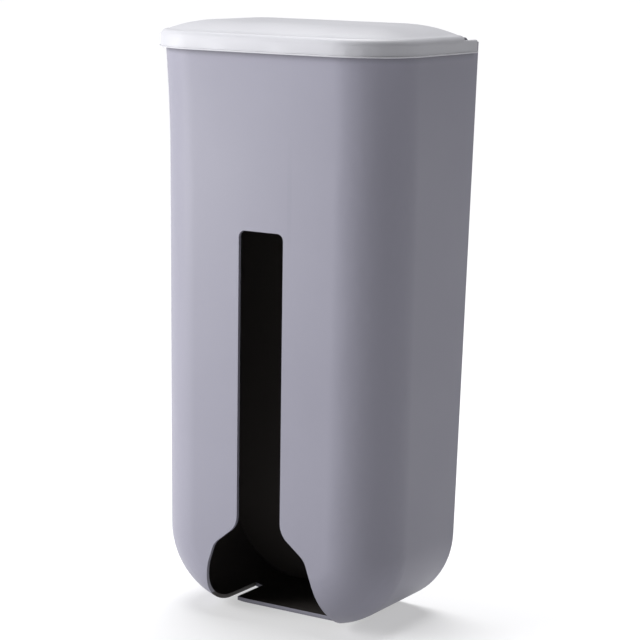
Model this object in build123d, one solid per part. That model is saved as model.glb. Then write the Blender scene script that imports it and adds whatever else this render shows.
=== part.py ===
from build123d import *
from math import hypot
import os

# Wall-mounted bag dispenser: a deep tub with a pull-out slot and a hinged lid, hung on two stud pads.
# Modelled with the tub's underside at z = 0 and its back face at y = 0, front towards -Y.
# The rim slopes down towards the front, and the lid lies parallel to it.
# Every piece is moved at the end so that the origin lies on the wall, midway between the studs.

# Tub
TUB_HEIGHT = 236.3          # underside to rim, measured above the hinge axis
RIM_SLOPE = 1.4             # degrees that the rim and the lid drop towards the front
FLOOR_HALF_WIDTH = 54.0     # half width at the underside, before the corner rounding
SIDE_DRAFT = 0.007          # each side leans out by this much per mm of height
FLOOR_DEPTH = 66.0          # back face to front face at the underside
FRONT_DRAFT = 0.035
FLARE_START = 185.0         # the front wall curls forward above this height
FLARE_OUT = 3.6             # extra depth that the curl adds at the rim
FRONT_BULGE = 3.0           # the front face bows out by this much across its width
BOTTOM_RADIUS = 34.0        # the two lower corners, seen from the front
FRONT_RADIUS = 25.0         # the rounding that runs down, under and up the front
BACK_EDGE_RADIUS = 0.8
WALL = 1.6

# Pull-out slot and the flared mouth below it
SLOT_WIDTH = 20.4
SLOT_TOP = 161.0
SLOT_TOP_RADIUS = 2.8
FLARE_NECK = 40.4           # height where the slot starts to open out
FLARE_SHOULDER = 31.2
FLARE_SHOULDER_HALF = 21.4
FLARE_SIDE = 22.6
FLARE_SIDE_HALF = 24.3
MOUTH_TOP = 6.0             # below this the mouth has its full width
MOUTH_HALF = 28.5           # half width where the mouth runs under the front
NECK_BLEND = 9.0
SHOULDER_BLEND = 8.0
MOUTH_SETBACK = 24.3        # the floor's front edge lies this far behind the front face
TONGUE_HALF = 25.0          # half width of the floor between the two relief slits
SLIT_END = 22.0             # the slits end this far in front of the back face

# Lid
LID_GAP = 0.4               # between the lid's skirt and the tub's sides
SKIRT_WALL = 1.2
SKIRT_DROP = 4.2            # the skirt reaches this far below the rim
SKIRT_EDGE_RADIUS = 0.8     # along the top of the hinge arms
BEAD_PROUD = 0.35           # rounded bead along the skirt's lower edge
BEAD_HEIGHT = 0.7
BEAD_RADIUS = 0.3
ARM_TOP = 1.0               # the hinge arms stand this far above the rim
LID_RIM_GAP = 0.5           # between the rim and the underside of the lid
LID_WALL = 1.5
LID_CEILING = 1.8           # thickness of the crown
SHOULDER_HEIGHT = 2.9       # top of the shoulder above the rim
SHOULDER_RADIUS = 2.7       # the shoulder is rounded over into the crown
CROWN_RISE = 4.4            # the lid's middle stands this far above its shoulder
CROWN_START = 1.6           # the crown begins this far in from the lid's outline
CROWN_SINK = 0.5            # and this far below the top of the shoulder
CROWN_INSET = 22.0          # the crown eases in over this much at the front and sides
CROWN_REAR_INSET = 7.0
CROWN_CORNER_LOSS = 1.5     # its rear corners tighten by this much on the way up
CROWN_FRONT_CORNER = 8.0    # no layer of the crown has tighter front corners than this
CROWN_STEPS = 5
LID_REAR = 4.0              # the hinge arms end this far in front of the back face
PANEL_REAR = 9.4            # the lid's top panel ends this far in front of the back face
PANEL_CORNER = 8.0
ARM_END_RADIUS = 1.1

# Hinge: pegs on the lid's arms turn in holes in the tub's sides and its two ears
PEG_RADIUS = 1.5
PEG_CLEARANCE = 0.08
PEG_REACH = 5.0             # the peg reaches this far in from the tub's side
PIVOT_BACK = 7.0            # peg axis to back face
PIVOT_DROP = 1.8            # peg axis below the rim
EAR_RADIUS = 3.6
EAR_THICKNESS = 3.0
EAR_INSET = 3.0             # the ear stands this far in from the tub's side
EAR_ROOT = 9.0              # the block under the ear runs down this far below the peg axis
EAR_CLEARANCE = 0.4         # around the ear, where the lid's panel is cut away
DECK_LAP = 2.0              # the tub's rear deck reaches this far under the lid's panel

# Wall fixing: two adhesive pads, each with a stud, a washer and a thumb nut
STUD_SPACING = 56.0
STUD_BELOW_RIM = 31.0
PAD_SIZE = 48.0
PAD_CORNER = 6.0
ADHESIVE_THICKNESS = 0.6
PAD_THICKNESS = 1.2
BOSS_RADIUS = 11.0
BOSS_HEIGHT = 1.6
STUD_RADIUS = 2.5
STUD_LENGTH = 13.5          # from the head's front face
STUD_PITCH = 0.8
THREAD_DEPTH = 0.35
HEAD_RADIUS = 7.0
HEAD_THICKNESS = 1.2
STUD_HOLE_CLEARANCE = 0.5   # radial, in the tub's back
FIT_CLEARANCE = 0.05        # radial, at the pad, the washer and the nut
WASHER_RADIUS = 7.5
WASHER_THICKNESS = 1.0
NUT_RADIUS = 8.0
NUT_THICKNESS = 5.0
NUT_FLANGE = 1.4
NUT_GRIPS = 10
GRIP_RADIUS = 1.5
GRIP_SETBACK = 0.5          # the grips stand in from the flange's edge by this much

MARGIN = 20.0               # how far cutting tools run past what they cut
SMALL = 0.01                # two heights this close count as the same

RIM_HALF_WIDTH = FLOOR_HALF_WIDTH + SIDE_DRAFT * TUB_HEIGHT
RIM_DEPTH = FLOOR_DEPTH + FRONT_DRAFT * TUB_HEIGHT + FLARE_OUT
BULGE_RADIUS = (FLOOR_HALF_WIDTH**2 + FRONT_BULGE**2) / (2 * FRONT_BULGE)
PIVOT_Z = TUB_HEIGHT - PIVOT_DROP
LID_OUT = LID_GAP + SKIRT_WALL
STANDOFF = ADHESIVE_THICKNESS + PAD_THICKNESS + BOSS_HEIGHT
STUD_Z = TUB_HEIGHT - STUD_BELOW_RIM


def u_profile(offset):
    """Front view of the tub, grown by offset: a U with leaning sides and round lower corners."""
    top = TUB_HEIGHT + MARGIN
    lean = offset * hypot(1, SIDE_DRAFT)
    low = FLOOR_HALF_WIDTH - SIDE_DRAFT * offset + lean
    high = FLOOR_HALF_WIDTH + SIDE_DRAFT * top + lean
    outline = Polyline((-low, -offset), (low, -offset), (high, top), (-high, top), close=True)
    face = Plane.XZ * make_face(outline)
    corners = face.vertices().sort_by(Axis.Z)[:2]
    return fillet(corners, BOTTOM_RADIUS + offset)


def front_solid(offset):
    """Everything behind the bowed, leaning front face, as a large turned body."""
    top = TUB_HEIGHT + MARGIN
    bend = FLARE_START
    reach = FRONT_DRAFT * TUB_HEIGHT + FLARE_OUT * ((top - bend) / (TUB_HEIGHT - bend)) ** 2
    low = (BULGE_RADIUS + offset - FRONT_DRAFT * MARGIN, -MARGIN)
    middle = (BULGE_RADIUS + offset + FRONT_DRAFT * bend, bend)
    high = (BULGE_RADIUS + offset + reach + FRONT_DRAFT * MARGIN, top)
    lower = Line(low, middle)
    upper = TangentArc(middle, high, tangent=(FRONT_DRAFT, 1))
    rest = Polyline(high, (0, top), (0, -MARGIN), low)
    profile = Plane.XZ * make_face(lower + upper + rest)
    body = revolve(profile, Axis.Z, 360)
    return Pos(0, BULGE_RADIUS - FLOOR_DEPTH, 0) * body


def tub_form(offset):
    """The tub's outside grown by offset, still solid and taller than the rim."""
    prism = extrude(u_profile(offset), RIM_DEPTH + MARGIN, dir=(0, -1, 0))
    prism = Pos(0, offset, 0) * prism
    form = prism & front_solid(offset)
    top = form.bounding_box().max.Z
    front = [
        edge
        for edge in form.edges()
        if edge.center().Y < -FLOOR_DEPTH / 2 and edge.center().Z < top - SMALL
    ]
    return fillet(front, FRONT_RADIUS + offset)


def sloped(shape):
    """Turn a shape drawn level with the rim about the hinge axis, so that its front drops."""
    return shape.rotate(Axis((0, -PIVOT_BACK, PIVOT_Z), (1, 0, 0)), RIM_SLOPE)


def below_rim():
    """A slab that holds everything under the sloping rim."""
    size = 4 * RIM_DEPTH
    return sloped(Pos(0, -RIM_DEPTH / 2, 0) * Box(size, size, 2 * TUB_HEIGHT))


def plan_outline(offset, rear, corner):
    """Plan of the rim grown by offset, closed at y = -rear with rounded rear corners."""
    half = RIM_HALF_WIDTH + offset
    depth = RIM_DEPTH + offset
    front = ThreePointArc((half, FRONT_BULGE - depth), (0, -depth), (-half, FRONT_BULGE - depth))
    back = Polyline(
        (-half, FRONT_BULGE - depth), (-half, -rear), (half, -rear), (half, FRONT_BULGE - depth)
    )
    face = make_face(front + back)
    corners = face.vertices().sort_by(Axis.Y)
    face = fillet(corners[:2], max(FRONT_RADIUS + offset, CROWN_FRONT_CORNER))
    if corner > 0:
        face = fillet(face.vertices().sort_by(Axis.Y)[-2:], corner)
    return face


def slot_cutter():
    """Pull-out slot and flared mouth, seen from the front, cut back to the floor's front edge."""
    half = SLOT_WIDTH / 2
    right = [
        (half, SLOT_TOP),
        (half, FLARE_NECK),
        (FLARE_SHOULDER_HALF, FLARE_SHOULDER),
        (FLARE_SIDE_HALF, FLARE_SIDE),
        (MOUTH_HALF, MOUTH_TOP),
        (MOUTH_HALF, -MARGIN),
    ]
    left = [(-x, z) for x, z in reversed(right)]
    face = make_face(Polyline(*right, *left, close=True))
    face = fillet(at_height(face, SLOT_TOP), SLOT_TOP_RADIUS)
    face = fillet(at_height(face, FLARE_NECK), NECK_BLEND)
    face = fillet(at_height(face, FLARE_SHOULDER), SHOULDER_BLEND)
    face = fillet(at_height(face, FLARE_SIDE), SHOULDER_BLEND)
    length = RIM_DEPTH - FLOOR_DEPTH + MOUTH_SETBACK + MARGIN
    cutter = extrude(Plane.XZ * face, length, dir=(0, -1, 0))
    return Pos(0, MOUTH_SETBACK - FLOOR_DEPTH, 0) * cutter


def at_height(face, height):
    return [v for v in face.vertices() if abs(v.Y - height) < SMALL]


def relief_slit(side):
    """Slit that carries the mouth's side on into the floor, beside the tongue."""
    width = MOUTH_HALF - TONGUE_HALF
    length = FLOOR_DEPTH - MOUTH_SETBACK - SLIT_END
    centre = (MOUTH_SETBACK - FLOOR_DEPTH - SLIT_END) / 2
    slit = Box(width, length, 2 * MOUTH_TOP)
    return Pos(side * (MOUTH_HALF + TONGUE_HALF) / 2, centre, 0) * slit


def side_cylinder(radius, start, end, y, z):
    """A round bar along X from start to end."""
    bar = Cylinder(radius, abs(end - start), rotation=(0, 90, 0))
    return Pos((start + end) / 2, y, z) * bar


def ear(side):
    """Round lug on the rear deck, on a block that joins it to the tub's side wall."""
    outer = RIM_HALF_WIDTH - EAR_INSET
    inner = outer - EAR_THICKNESS
    wall = RIM_HALF_WIDTH - SIDE_DRAFT * EAR_ROOT
    disc = side_cylinder(EAR_RADIUS, side * inner, side * outer, -PIVOT_BACK, PIVOT_Z)
    height = EAR_ROOT + PIVOT_DROP - WALL / 2
    block = Box(wall - inner, 2 * EAR_RADIUS, height)
    block = Pos(side * (wall + inner) / 2, -PIVOT_BACK, PIVOT_Z - EAR_ROOT + height / 2) * block
    return disc + block


def rear_deck(outer):
    """Strip behind the loading mouth, with rounded corners that follow the lid's panel."""
    slab = Pos(0, 0, TUB_HEIGHT - WALL / 2) * Box(4 * RIM_DEPTH, 4 * RIM_DEPTH, WALL)
    mouth = plan_outline(LID_OUT - DECK_LAP, PANEL_REAR + DECK_LAP, PANEL_CORNER - DECK_LAP)
    cut = Pos(0, 0, TUB_HEIGHT - MARGIN) * extrude(mouth, 2 * MARGIN)
    return sloped(slab - cut) & outer


def tub():
    outer = tub_form(0)
    top = outer.bounding_box().max.Z
    upright = [
        edge
        for edge in outer.edges()
        if abs(edge.center().Y) < SMALL and edge.center().Z < top - SMALL
    ]
    outer = fillet(upright, BACK_EDGE_RADIUS) & below_rim()
    shell = outer - tub_form(-WALL)
    shell = shell + rear_deck(outer) + ear(-1) + ear(1) - slot_cutter()
    hole = PEG_RADIUS + PEG_CLEARANCE
    inner = RIM_HALF_WIDTH - EAR_INSET - EAR_THICKNESS - WALL
    end = RIM_HALF_WIDTH + WALL
    for side in (-1, 1):
        shell -= relief_slit(side)
        shell -= side_cylinder(hole, side * inner, side * end, -PIVOT_BACK, PIVOT_Z)
        shell -= wall_hole(side, STUD_RADIUS + STUD_HOLE_CLEARANCE)
    return shell


def wall_hole(side, radius):
    """Round hole through the tub's back for one stud."""
    drill = Cylinder(radius, 4 * WALL, rotation=(90, 0, 0))
    return Pos(side * STUD_SPACING / 2, 0, STUD_Z) * drill


def crown(shrink, shoulder):
    """Domed body over the lid's plan, easing up from just under the shoulder."""
    layers = []
    for step in range(CROWN_STEPS + 1):
        share = step / CROWN_STEPS
        inset = shrink + CROWN_START + CROWN_INSET * share
        back = PANEL_REAR + shrink + CROWN_START + CROWN_REAR_INSET * share
        turn = PANEL_CORNER - shrink - CROWN_START - CROWN_CORNER_LOSS * share
        height = shoulder - CROWN_SINK + CROWN_RISE * (1 - (1 - share) ** 2)
        layers.append(Pos(0, 0, height) * plan_outline(LID_OUT - inset, back, turn))
    return loft(layers)


def panel_wall(shrink, top):
    """Upright body over the lid's plan, reaching down past the rim."""
    foot = plan_outline(LID_OUT - shrink, PANEL_REAR + shrink, PANEL_CORNER - shrink)
    return Pos(0, 0, TUB_HEIGHT - MARGIN) * extrude(foot, top - TUB_HEIGHT + MARGIN)


def skirt():
    """Band on three sides that ends in the two hinge arms, with a bead along its lower edge."""
    low = TUB_HEIGHT - SKIRT_DROP
    band = extrude(plan_outline(LID_OUT, LID_REAR, ARM_END_RADIUS), SKIRT_DROP + ARM_TOP)
    band = fillet(band.faces().sort_by(Axis.Z)[-1].edges(), SKIRT_EDGE_RADIUS)
    bead = extrude(plan_outline(LID_OUT + BEAD_PROUD, LID_REAR, ARM_END_RADIUS), BEAD_HEIGHT)
    rims = bead.faces().sort_by(Axis.Z)[0].edges() + bead.faces().sort_by(Axis.Z)[-1].edges()
    bead = fillet(rims, BEAD_RADIUS)
    inside = extrude(plan_outline(LID_GAP, -MARGIN, 0), MARGIN)
    return Pos(0, 0, low) * (band + bead - inside)


def lid():
    """Domed moulding with a skirt on three sides and two rear arms that carry the hinge pegs."""
    shoulder = TUB_HEIGHT + SHOULDER_HEIGHT
    cap = panel_wall(0, shoulder)
    cap = fillet(cap.faces().sort_by(Axis.Z)[-1].edges(), SHOULDER_RADIUS)
    ceiling = shoulder - LID_CEILING
    hollow = panel_wall(LID_WALL, ceiling) + crown(LID_WALL, ceiling)
    size = 4 * RIM_DEPTH
    under = Pos(0, 0, TUB_HEIGHT + LID_RIM_GAP - MARGIN) * Box(size, size, 2 * MARGIN)
    body = sloped(skirt() + (cap + crown(0, shoulder) - hollow - under))
    for side in (-1, 1):
        outer = RIM_HALF_WIDTH + LID_GAP
        inner = RIM_HALF_WIDTH - EAR_INSET - EAR_THICKNESS - EAR_CLEARANCE
        room = EAR_RADIUS + EAR_CLEARANCE
        body -= side_cylinder(room, side * inner, side * outer, -PIVOT_BACK, PIVOT_Z)
        tip = RIM_HALF_WIDTH - PEG_REACH
        root = outer + SKIRT_WALL / 2
        body += side_cylinder(PEG_RADIUS, side * tip, side * root, -PIVOT_BACK, PIVOT_Z)
    return body


def on_stud(shape, side, distance):
    """Put a piece drawn along +Z onto one stud's axis, its foot at this distance from the wall."""
    x = side * STUD_SPACING / 2
    return Pos(x, STANDOFF - distance, STUD_Z) * Rot(90, 0, 0) * shape


def adhesive(side):
    sheet = fillet(Rectangle(PAD_SIZE, PAD_SIZE).vertices(), PAD_CORNER)
    return on_stud(extrude(sheet, ADHESIVE_THICKNESS), side, 0)


def wall_pad(side):
    """Clear plate with a raised boss that traps the stud's head against the adhesive."""
    sheet = fillet(Rectangle(PAD_SIZE, PAD_SIZE).vertices(), PAD_CORNER)
    plate = extrude(sheet, PAD_THICKNESS)
    boss = extrude(Circle(BOSS_RADIUS), PAD_THICKNESS + BOSS_HEIGHT)
    rim = boss.edges().sort_by(Axis.Z)[-1]
    plate = plate + fillet(rim, BOSS_HEIGHT / 2)
    plate -= extrude(Circle(HEAD_RADIUS + FIT_CLEARANCE), HEAD_THICKNESS)
    plate -= extrude(Circle(STUD_RADIUS + FIT_CLEARANCE), PAD_THICKNESS + 2 * BOSS_HEIGHT)
    return on_stud(plate, side, ADHESIVE_THICKNESS)


def stud(side):
    """Threaded stud: the thread is drawn as ridges at its real pitch."""
    start = HEAD_THICKNESS + BOSS_HEIGHT
    end = HEAD_THICKNESS + STUD_LENGTH
    turns = int((end - start) / STUD_PITCH)
    points = [(0, 0), (HEAD_RADIUS, 0), (HEAD_RADIUS, HEAD_THICKNESS)]
    points += [(STUD_RADIUS, HEAD_THICKNESS), (STUD_RADIUS, start)]
    for turn in range(turns):
        points += [
            (STUD_RADIUS - THREAD_DEPTH, start + (turn + 1 / 2) * STUD_PITCH),
            (STUD_RADIUS, start + (turn + 1) * STUD_PITCH),
        ]
    points += [(STUD_RADIUS - THREAD_DEPTH, end), (0, end)]
    profile = Plane.XZ * make_face(Polyline(*points, close=True))
    return on_stud(revolve(profile, Axis.Z, 360), side, ADHESIVE_THICKNESS)


def washer(side):
    ring = Circle(WASHER_RADIUS) - Circle(STUD_RADIUS + FIT_CLEARANCE)
    return on_stud(extrude(ring, WASHER_THICKNESS), side, STANDOFF + WALL)


def thumb_nut(side):
    """Round plastic nut with a flange and finger grips."""
    flange = extrude(Circle(NUT_RADIUS), NUT_FLANGE)
    grip = Circle(NUT_RADIUS - GRIP_SETBACK)
    for place in PolarLocations(NUT_RADIUS, NUT_GRIPS):
        grip -= place * Circle(GRIP_RADIUS)
    grips = extrude(grip, NUT_THICKNESS)
    nut = flange + grips - extrude(Circle(STUD_RADIUS + FIT_CLEARANCE), NUT_THICKNESS)
    return on_stud(nut, side, STANDOFF + WALL + WASHER_THICKNESS)


def write(shape, name):
    placed = Pos(0, -STANDOFF, -STUD_Z) * shape
    export_step(placed, f"parts/{name}.step")


os.makedirs("parts", exist_ok=True)
write(tub(), "tub")
write(lid(), "lid")
for side, label in ((-1, "left"), (1, "right")):
    write(adhesive(side), f"adhesive_{label}")
    write(wall_pad(side), f"wall_pad_{label}")
    write(stud(side), f"stud_{label}")
    write(washer(side), f"washer_{label}")
    write(thumb_nut(side), f"thumb_nut_{label}")
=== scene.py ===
import math

import bpy
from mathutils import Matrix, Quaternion, Vector


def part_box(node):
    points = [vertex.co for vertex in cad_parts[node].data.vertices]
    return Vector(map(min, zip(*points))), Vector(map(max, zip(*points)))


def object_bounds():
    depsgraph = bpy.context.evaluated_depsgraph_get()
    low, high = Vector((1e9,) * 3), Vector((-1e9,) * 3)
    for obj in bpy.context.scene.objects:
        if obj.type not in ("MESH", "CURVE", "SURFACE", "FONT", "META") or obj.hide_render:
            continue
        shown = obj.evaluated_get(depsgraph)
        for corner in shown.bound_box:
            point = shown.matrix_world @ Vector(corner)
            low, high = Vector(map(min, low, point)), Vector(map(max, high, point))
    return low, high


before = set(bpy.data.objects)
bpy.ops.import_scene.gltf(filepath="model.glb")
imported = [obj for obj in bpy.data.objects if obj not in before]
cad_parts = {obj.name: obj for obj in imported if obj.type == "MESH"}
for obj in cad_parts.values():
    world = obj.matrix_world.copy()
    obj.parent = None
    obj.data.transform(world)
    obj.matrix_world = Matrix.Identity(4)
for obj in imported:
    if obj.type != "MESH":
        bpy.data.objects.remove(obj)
cad_low, cad_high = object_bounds()

# ---------------------------------------------------------------- tub
# The deep one-piece tub that holds the folded bags, with its slot, rear deck and hinge ears.
# Polypropylene, injection moulded in a spark-eroded tool: lavender grey, with the inside
# painted near black as shade.
# It hangs on the two studs behind it.


def linear(code):
    """An sRGB hex colour as a linear RGBA tuple."""
    parts = [int(code[i : i + 2], 16) / 255 for i in (0, 2, 4)]
    curve = [c / 12.92 if c <= 0.04045 else ((c + 0.055) / 1.055) ** 2.4 for c in parts]
    return (*curve, 1.0)


def new_material(name):
    """A node material with its surface shader joined to the output, and object coordinates."""
    material = bpy.data.materials.new(name)
    material.use_nodes = True
    tree = material.node_tree
    tree.nodes.clear()
    out = tree.nodes.new("ShaderNodeOutputMaterial")
    shader = tree.nodes.new("ShaderNodeBsdfPrincipled")
    tree.links.new(shader.outputs["BSDF"], out.inputs["Surface"])
    place = tree.nodes.new("ShaderNodeTexCoord").outputs["Object"]
    return material, tree, shader, place


def add(tree, kind, settings=None, links=None):
    """One node; each key names a property or an input, and a number key is an input's place."""
    node = tree.nodes.new(kind)
    for key, value in (settings or {}).items():
        if isinstance(key, str) and hasattr(node, key):
            setattr(node, key, value)
        else:
            node.inputs[key].default_value = value
    for key, source in (links or {}).items():
        tree.links.new(source, node.inputs[key])
    return node


def per_metre(millimetres):
    """Texture scale for features this many millimetres across."""
    return 1000.0 / millimetres


def cloudy(tree, shader, place, patch_mm, colours, roughness):
    """Slow drift of colour and gloss over a moulding, in patches of this size."""
    patch = {"Scale": per_metre(patch_mm), "Detail": 3.0}
    cloud = add(tree, "ShaderNodeTexNoise", patch, {"Vector": place})
    tint = add(tree, "ShaderNodeMix", {"data_type": "RGBA"}, {"Factor": cloud.outputs["Fac"]})
    tint.inputs["A"].default_value = linear(colours[0])
    tint.inputs["B"].default_value = linear(colours[1])
    tree.links.new(tint.outputs["Result"], shader.inputs["Base Color"])
    gloss = {"To Min": roughness[0], "To Max": roughness[1], "From Min": 0.3, "From Max": 0.7}
    sheen = add(tree, "ShaderNodeMapRange", gloss, {"Value": cloud.outputs["Fac"]})
    tree.links.new(sheen.outputs["Result"], shader.inputs["Roughness"])
    return tint


def grain(tree, shader, place, grain_mm, depth_mm):
    """Fine relief left by the tool or the process, at its real size."""
    size = {"Scale": per_metre(grain_mm), "Detail": 3.0, "Roughness": 0.6}
    fine = add(tree, "ShaderNodeTexNoise", size, {"Vector": place})
    height = {"Distance": depth_mm / 1000.0}
    bump = add(tree, "ShaderNodeBump", height, {"Height": fine.outputs["Fac"]})
    tree.links.new(bump.outputs["Normal"], shader.inputs["Normal"])
    return bump


def soft_edges(piece, width_mm):
    """Moulded or worn corners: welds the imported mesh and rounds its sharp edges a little."""
    weld = piece.modifiers.new("weld", "WELD")
    weld.merge_threshold = 1e-6
    bevel = piece.modifiers.new("soft_edge", "BEVEL")
    bevel.width = width_mm / 1000.0
    bevel.segments = 3
    bevel.limit_method = "ANGLE"
    bevel.angle_limit = math.radians(32)
    bevel.miter_outer = "MITER_ARC"
    bevel.use_clamp_overlap = True
    bevel.harden_normals = True
    for face in piece.data.polygons:
        face.use_smooth = True


def dress(name, material, edge_mm):
    """Give one CAD node its finish and its softened edges."""
    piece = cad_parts[name]
    piece.data.materials.clear()
    piece.data.materials.append(material)
    soft_edges(piece, edge_mm)
    return piece


# Spark-eroded grain 0.5 mm across and 0.01 mm deep breaks the light into a dull satin, and the
# specular level is below its usual half because the grain scatters much of the reflection.
grey_pp, tree, shader, place = new_material("grey_polypropylene_spark_eroded")
outside = cloudy(tree, shader, place, 45, ("7d7c88", "82818d"), (0.40, 0.50))
shader.inputs["IOR"].default_value = 1.49
shader.inputs["Specular IOR Level"].default_value = 0.35
grain(tree, shader, place, 0.5, 0.010)

# A weld line, 2 mm wide and a little darker, runs up beside the closed end of the slot. It
# starts and ends gradually; heights are metres above the tub's underside.
WELD_X = 0.0128
WELD_HALF_WIDTH = 0.0010
WELD_FOOT = (0.150, 0.166)
WELD_TOP = (0.180, 0.205)
WELD_STRENGTH = 0.10
tub_low, tub_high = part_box("tub")
spot = add(tree, "ShaderNodeSeparateXYZ", {}, {"Vector": place})
across = add(
    tree,
    "ShaderNodeMath",
    {"operation": "COMPARE", 1: WELD_X, 2: WELD_HALF_WIDTH},
    {0: spot.outputs["X"]},
)
above = add(
    tree,
    "ShaderNodeMapRange",
    {
        "From Min": tub_low.z + WELD_FOOT[0],
        "From Max": tub_low.z + WELD_FOOT[1],
        "To Min": 0.0,
        "To Max": WELD_STRENGTH,
    },
    {"Value": spot.outputs["Z"]},
)
fade = add(
    tree,
    "ShaderNodeMapRange",
    {
        "From Min": tub_low.z + WELD_TOP[1],
        "From Max": tub_low.z + WELD_TOP[0],
        "To Min": 0.0,
        "To Max": 1.0,
    },
    {"Value": spot.outputs["Z"]},
)
line = add(
    tree,
    "ShaderNodeMath",
    {"operation": "MULTIPLY"},
    {0: above.outputs["Result"], 1: fade.outputs["Result"]},
)
line = add(
    tree,
    "ShaderNodeMath",
    {"operation": "MULTIPLY"},
    {0: line.outputs["Value"], 1: across.outputs["Value"]},
)
marked = add(
    tree,
    "ShaderNodeMix",
    {"data_type": "RGBA"},
    {"Factor": line.outputs["Value"], "A": outside.outputs["Result"]},
)
marked.inputs["B"].default_value = linear("6c6b76")

# The inside is painted near black as shade. A face counts as inside when it looks back at the
# tub's middle from more than
# INNER metres away, or when it is low down and looks up by more than UPWARD.
INNER = 0.0275
FLOOR_ZONE = 0.035
UPWARD = 0.3
middle = (tub_low + tub_high) / 2
outward = add(
    tree,
    "ShaderNodeVectorMath",
    {"operation": "MULTIPLY_ADD", 1: (1, 1, 0), 2: (0, -middle.y, 0)},
    {0: place},
)
facing = add(tree, "ShaderNodeNewGeometry").outputs["True Normal"]
reach = add(
    tree,
    "ShaderNodeVectorMath",
    {"operation": "DOT_PRODUCT"},
    {0: outward.outputs["Vector"], 1: facing},
)
inner_wall = add(
    tree, "ShaderNodeMath", {"operation": "LESS_THAN", 1: -INNER}, {0: reach.outputs["Value"]}
)
tilt = add(tree, "ShaderNodeSeparateXYZ", {}, {"Vector": facing})
upward = add(
    tree, "ShaderNodeMath", {"operation": "GREATER_THAN", 1: UPWARD}, {0: tilt.outputs["Z"]}
)
low_down = add(
    tree,
    "ShaderNodeMath",
    {"operation": "LESS_THAN", 1: tub_low.z + FLOOR_ZONE},
    {0: spot.outputs["Z"]},
)
inner_floor = add(
    tree,
    "ShaderNodeMath",
    {"operation": "MULTIPLY"},
    {0: upward.outputs["Value"], 1: low_down.outputs["Value"]},
)
inside_shade_mask = add(
    tree,
    "ShaderNodeMath",
    {"operation": "MAXIMUM"},
    {0: inner_wall.outputs["Value"], 1: inner_floor.outputs["Value"]},
)
# Painted shade: the grey is darkened within 3 mm of another surface, such as under the lid's
# skirt, where shade falls.
painted_gap_shade = add(
    tree,
    "ShaderNodeAmbientOcclusion",
    {"samples": 8, "Distance": 0.003},
    {"Color": marked.outputs["Result"]},
)
# Painted shade: the inside faces take the near-black colour 4a4644.
with_painted_shade = add(
    tree,
    "ShaderNodeMix",
    {"data_type": "RGBA"},
    {"Factor": inside_shade_mask.outputs["Value"], "A": painted_gap_shade.outputs["Color"]},
)
with_painted_shade.inputs["B"].default_value = linear("4a4644")
tree.links.new(with_painted_shade.outputs["Result"], shader.inputs["Base Color"])
body = dress("tub", grey_pp, 0.5)

# Normals weighted by face area keep the large faces even beside their softened edges.
flat = body.modifiers.new("flat_faces", "WEIGHTED_NORMAL")
flat.weight = 100

# ---------------------------------------------------------------- lid
# The domed lid, clipped onto the tub by two pegs moulded on the insides of its arms.
# White polypropylene from a polished and vapour-honed tool, so it is smoother than the tub.

# Honed grain 0.8 mm across and 0.006 mm deep, with slow patches of gloss from handling.
white_pp, tree, shader, place = new_material("white_polypropylene_honed")
cloudy(tree, shader, place, 30, ("a9a9ae", "afafb4"), (0.46, 0.56))
shader.inputs["IOR"].default_value = 1.49
grain(tree, shader, place, 0.8, 0.006)
dress("lid", white_pp, 0.3)

# ---------------------------------------------------------------- adhesive
# Two die-cut squares of double-sided tape that hold the wall pads to the wall.
# Closed-cell acrylic foam, translucent grey-white, with cells 0.4 mm across.

# The open cells at the cut edge make it matt and slightly pitted.
foam, tree, shader, place = new_material("acrylic_foam_tape_die_cut")
cloudy(tree, shader, place, 6, ("c2c2bd", "cfcfca"), (0.80, 0.92))
grain(tree, shader, place, 0.4, 0.08)
for hand in ("left", "right"):
    dress(f"adhesive_{hand}", foam, 0.05)

# ---------------------------------------------------------------- wall pads
# Clear plates behind the tub, each with a boss that traps the head of a stud.
# PVC, injection moulded in a polished tool, and stuck to the wall by the adhesive.

# Polished faces carry a slow 5 mm ripple, so what is seen through them wavers.
clear_pvc, tree, shader, place = new_material("clear_pvc_polished_moulding")
cloudy(tree, shader, place, 12, ("dfe6e8", "e8edee"), (0.07, 0.14))
shader.inputs["Transmission Weight"].default_value = 0.85
shader.inputs["IOR"].default_value = 1.53
grain(tree, shader, place, 5, 0.02)
for hand in ("left", "right"):
    dress(f"wall_pad_{hand}", clear_pvc, 0.15)

# ---------------------------------------------------------------- studs
# Two threaded studs: each head sits in its wall pad and each shank goes through the tub's back.
# Low-carbon steel, cold headed, thread rolled and bright zinc plated.

# The plating clouds from blue-white to straw over 3 mm patches, with fine rolling marks.
zinc, tree, shader, place = new_material("steel_bright_zinc_plated")
cloudy(tree, shader, place, 3, ("c3c8cc", "cbc8b8"), (0.24, 0.40))
shader.inputs["Metallic"].default_value = 1.0
grain(tree, shader, place, 0.3, 0.006)
for hand in ("left", "right"):
    dress(f"stud_{hand}", zinc, 0.04)

# ---------------------------------------------------------------- washers
# Two flat rings between the tub's back and the nuts, which grip and take up the clearance.
# Nitrile rubber, stamped from sheet.

# Talc and the sheet's calender marks leave a dry grey bloom in 2 mm patches.
rubber, tree, shader, place = new_material("nitrile_rubber_stamped_sheet")
cloudy(tree, shader, place, 2, ("1d1d1f", "2b2b2c"), (0.66, 0.85))
grain(tree, shader, place, 0.35, 0.02)
for hand in ("left", "right"):
    dress(f"washer_{hand}", rubber, 0.1)

# ---------------------------------------------------------------- thumb nuts
# Two finger-tight nuts on the studs, inside the tub, with ten grips each.
# Natural nylon 66, injection moulded with its thread.

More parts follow.
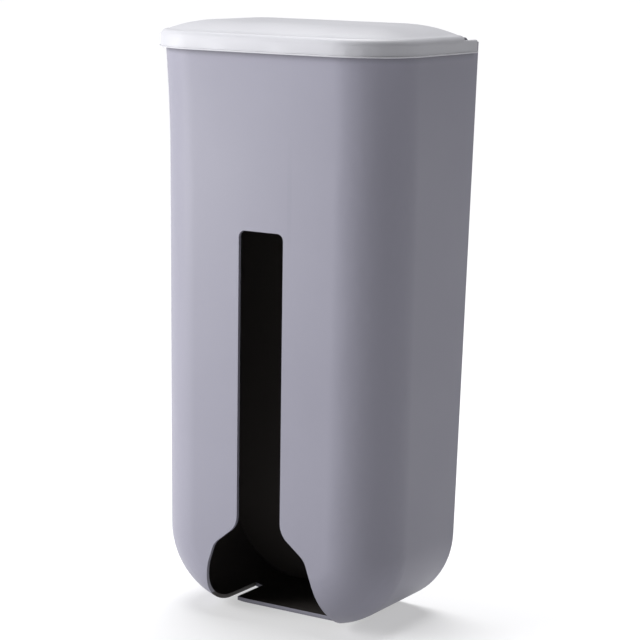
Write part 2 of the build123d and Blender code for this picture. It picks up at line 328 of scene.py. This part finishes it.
# Warm milky white with some light inside it, and a faint 0.6 mm orange peel.
nylon, tree, shader, place = new_material("natural_nylon_moulded")
cloudy(tree, shader, place, 8, ("d6d0bd", "e0dccd"), (0.36, 0.48))
shader.inputs["Subsurface Weight"].default_value = 0.15
shader.inputs["Subsurface Scale"].default_value = 0.002
grain(tree, shader, place, 0.6, 0.01)
for hand in ("left", "right"):
    dress(f"thumb_nut_{hand}", nylon, 0.3)

# ---------------------------------------------------------------- stage
# A plain pale floor under the tub and soft light: a broad key from the left, and an overhead
# that keeps the floor and the lid bright. The sky is bright near the horizon and dark above.

# Matt paint with a slow drift of tone. Nearly half of the floor's brightness is its own glow,
# as on a light table, so that shadows on it stay pale.
bpy.ops.mesh.primitive_plane_add(size=400, location=(0, 0, cad_low.z - 0.0002))
floor = bpy.context.object
floor.name = "floor"
paint, tree, shader, place = new_material("pale_matte_floor")
cloudy(tree, shader, place, 300, ("a8a8aa", "acacae"), (0.85, 0.95))
shader.inputs["Emission Color"].default_value = linear("ffffff")
shader.inputs["Emission Strength"].default_value = 0.46
floor.data.materials.append(paint)

world = bpy.data.worlds.new("studio")
bpy.context.scene.world = world
world.use_nodes = True
sky = world.node_tree.nodes["Background"]
sky.inputs["Color"].default_value = linear("ffffff")
up = add(world.node_tree, "ShaderNodeTexCoord").outputs["Generated"]
height = add(world.node_tree, "ShaderNodeSeparateXYZ", {}, {"Vector": up})
dusk = {"From Min": 0.02, "From Max": 0.10, "To Min": 1.0, "To Max": 0.03}
glow = add(world.node_tree, "ShaderNodeMapRange", dusk, {"Value": height.outputs["Z"]})
world.node_tree.links.new(glow.outputs["Result"], sky.inputs["Strength"])


def away(azimuth, elevation):
    """Unit vector from the tub towards a light or camera; azimuth 0 is straight in front."""
    a = math.radians(azimuth)
    e = math.radians(elevation)
    return Vector((math.sin(a) * math.cos(e), -math.cos(a) * math.cos(e), math.sin(e)))


def hang(data, direction, distance):
    """Put a light this far from the tub's middle in one direction, aimed back at it."""
    light = bpy.data.objects.new(data.name, data)
    light.location = (cad_low + cad_high) / 2 + direction * distance
    light.rotation_mode = "QUATERNION"
    light.rotation_quaternion = (-direction).to_track_quat("-Z", "Y")
    bpy.context.scene.collection.objects.link(light)


overhead = bpy.data.lights.new("overhead", "SUN")
overhead.energy = 4.2
overhead.angle = math.radians(45)
hang(overhead, away(-150, 74), 1.5)

key = bpy.data.lights.new("key_softbox", "AREA")
key.shape = "RECTANGLE"
key.size = 0.9
key.size_y = 1.2
key.energy = 39
hang(key, away(-50, 14), 1.5)

# ---------------------------------------------------------------- camera
# A long lens a little above the tub's middle and to its right, rolled slightly.
# It aims at a point this far in front of the tub's back and above the floor, shifted sideways.
CAMERA_AZIMUTH = 30.34
CAMERA_ELEVATION = 9.38
CAMERA_DISTANCE = 0.8285
CAMERA_ROLL = 1.92
AIM_DEPTH = 0.040
AIM_HEIGHT = 0.12265
AIM_SHIFT = 0.00828
back = away(CAMERA_AZIMUTH, CAMERA_ELEVATION)
side = Vector((back.y, -back.x, 0)).normalized() * -1
target = Vector((0, tub_high.y - AIM_DEPTH, cad_low.z + AIM_HEIGHT)) + side * AIM_SHIFT
lens = bpy.data.cameras.new("camera")
lens.sensor_width = 36
lens.lens = 114.84
camera = bpy.data.objects.new("camera", lens)
camera.location = target + back * CAMERA_DISTANCE
camera.rotation_mode = "QUATERNION"
roll = Quaternion((0, 0, 1), math.radians(CAMERA_ROLL))
camera.rotation_quaternion = (-back).to_track_quat("-Z", "Y") @ roll
bpy.context.scene.collection.objects.link(camera)
bpy.context.scene.camera = camera
bpy.context.scene.view_settings.view_transform = "Standard"
